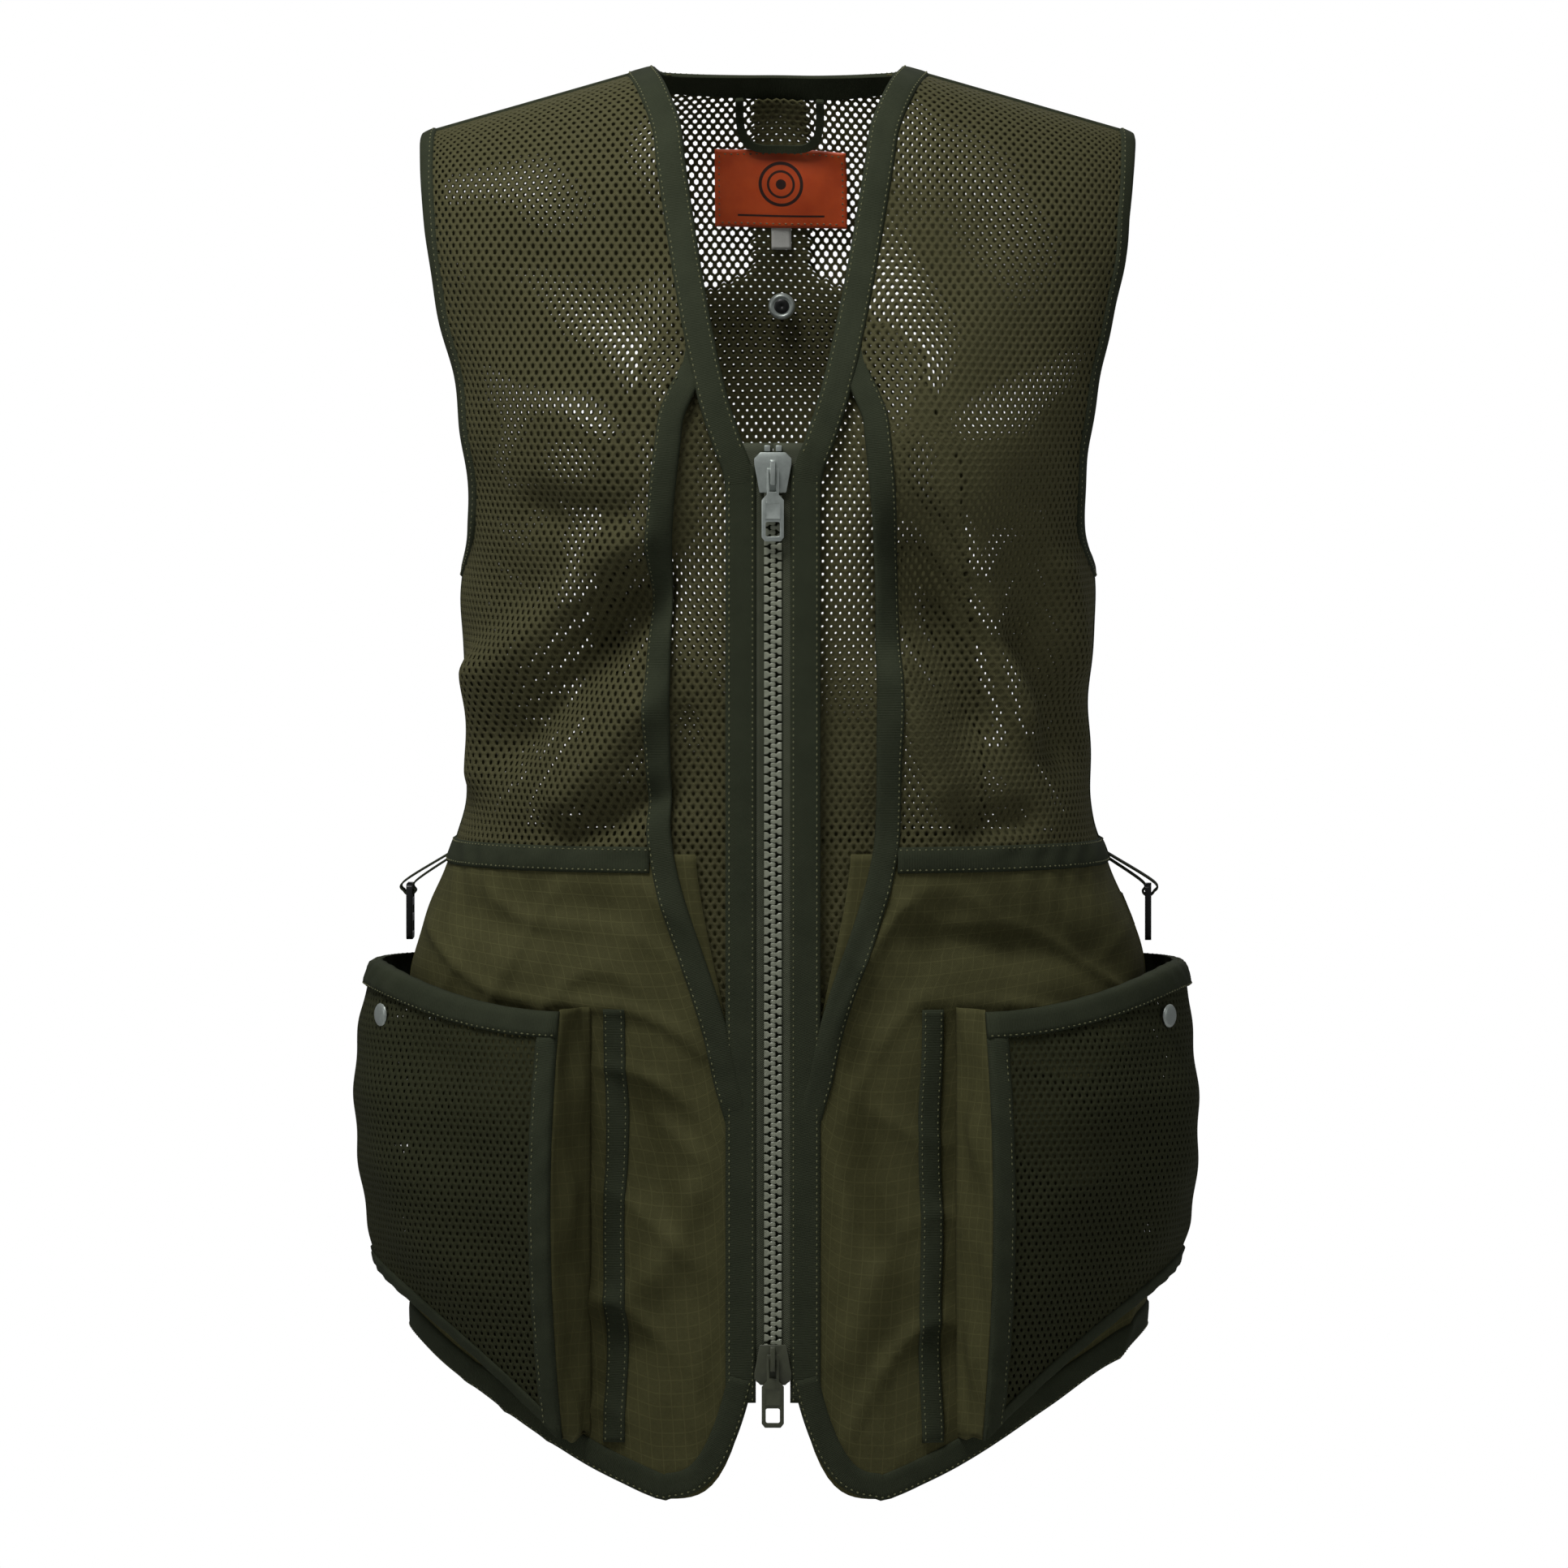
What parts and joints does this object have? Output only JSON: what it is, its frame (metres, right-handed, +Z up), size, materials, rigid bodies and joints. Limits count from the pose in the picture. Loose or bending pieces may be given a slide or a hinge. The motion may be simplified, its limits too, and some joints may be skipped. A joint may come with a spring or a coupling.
{
  "type": "mesh shooting vest",
  "caption": "Sleeveless olive mesh vest with a two-way front zip, taped V neck and armholes, ripstop lower panels and two bellows hip pockets.",
  "frame": {"origin": "midway between the shoulders at the height where the vest rests on its wearer", "axes": "+Z up, the wearer faces -Y and the wearer's left is +X"},
  "size_m": [0.423, 0.2654, 0.7098],
  "materials": {
    "mesh_cloth": "open knitted polyester mesh, olive",
    "ripstop": "ripstop polycotton, olive",
    "tape": "woven binding tape, dark olive",
    "zip_tape": "herringbone zip tape, dark olive",
    "zip_teeth": "moulded acetal, grey olive",
    "nickel": "satin nickel plate",
    "olive_paint": "satin olive paint on die-cast zinc",
    "black_plastic": "moulded acetal, black",
    "orange_satin": "woven satin label, orange",
    "white_tape": "printed-tape blank, white"
  },
  "bodies": {
    "vest": {"back_mesh_panel": "mesh_cloth", "back_overlay_panel": "mesh_cloth", "lower_back_panel": "ripstop", "left_front_mesh_panel": "mesh_cloth", "left_front_inner_mesh": "mesh_cloth", "left_lower_front_panel": "ripstop", "left_inner_pocket": "ripstop", "left_armhole_binding": "tape", "left_shoulder_tape": "tape", "left_opening_tape": "tape", "left_waist_tape": "tape", "left_zip_facing": "tape", "left_zip_tape": "zip_tape", "left_zip_teeth": "zip_teeth", "left_top_stop": "nickel", "left_bottom_pin": "zip_teeth", "left_pocket_panel": "mesh_cloth", "left_pocket_gusset": "ripstop", "left_pocket_mouth_binding": "tape", "left_pocket_edge_binding": "tape", "left_pocket_body_tape": "tape", "left_pocket_snap_cap": "nickel", "left_pocket_snap_socket": "nickel", "left_adjuster_strap": "tape", "left_buckle_tab": "tape", "right_front_mesh_panel": "mesh_cloth", "right_front_inner_mesh": "mesh_cloth", "right_lower_front_panel": "ripstop", "right_inner_pocket": "ripstop", "right_armhole_binding": "tape", "right_shoulder_tape": "tape", "right_opening_tape": "tape", "right_waist_tape": "tape", "right_zip_facing": "tape", "right_zip_tape": "zip_tape", "right_zip_teeth": "zip_teeth", "right_top_stop": "nickel", "right_bottom_pin": "zip_teeth", "right_pocket_panel": "mesh_cloth", "right_pocket_gusset": "ripstop", "right_pocket_mouth_binding": "tape", "right_pocket_edge_binding": "tape", "right_pocket_body_tape": "tape", "right_pocket_snap_cap": "nickel", "right_pocket_snap_socket": "nickel", "right_adjuster_strap": "tape", "right_buckle_tab": "tape", "neck_binding": "tape", "hem_binding": "tape", "back_waist_tape": "tape", "label": "orange_satin", "size_tab": "white_tape", "back_snap": "nickel"},
    "top_slider": {"top_slider": "nickel"},
    "top_pull": {"top_pull": "nickel"},
    "bottom_slider": {"bottom_slider": "olive_paint"},
    "bottom_pull": {"bottom_pull": "olive_paint"},
    "hanging_loop": {"hanging_loop": "tape"},
    "left_side_buckle": {"left_side_buckle": "black_plastic"},
    "right_side_buckle": {"right_side_buckle": "black_plastic"}
  },
  "joints": [
    {"name": "top_slider_travel", "type": "slide", "parent": "vest", "child": "top_slider", "axis": [0, 0, -1], "range_m": [0, 0.27], "deforming": ["left_zip_teeth", "right_zip_teeth"]},
    {"name": "top_pull_swing", "type": "hinge", "parent": "top_slider", "child": "top_pull", "pos_m": [0, -0.12175, -0.1796], "axis": [-1, 0, 0], "range_deg": [0, 150]},
    {"name": "bottom_slider_travel", "type": "slide", "parent": "vest", "child": "bottom_slider", "axis": [0, 0, 1], "range_m": [0, 0.11], "deforming": ["left_zip_teeth", "right_zip_teeth"]},
    {"name": "bottom_pull_swing", "type": "hinge", "parent": "bottom_slider", "child": "bottom_pull", "pos_m": [0, -0.12175, -0.619], "axis": [-1, 0, 0], "range_deg": [0, 150]},
    {"name": "hanging_loop_swing", "type": "hinge", "parent": "vest", "child": "hanging_loop", "pos_m": [0, 0.04373, 0.00316], "axis": [-1, 0, 0], "range_deg": [0, 120]},
    {"name": "left_buckle_swing", "type": "hinge", "parent": "vest", "child": "left_side_buckle", "pos_m": [0.18561, 0.02529, -0.3925], "axis": [0, -1, 0], "range_deg": [0, 60]},
    {"name": "right_buckle_swing", "type": "hinge", "parent": "vest", "child": "right_side_buckle", "pos_m": [-0.18561, 0.02529, -0.3925], "axis": [0, 1, 0], "range_deg": [0, 60]}
  ]
}
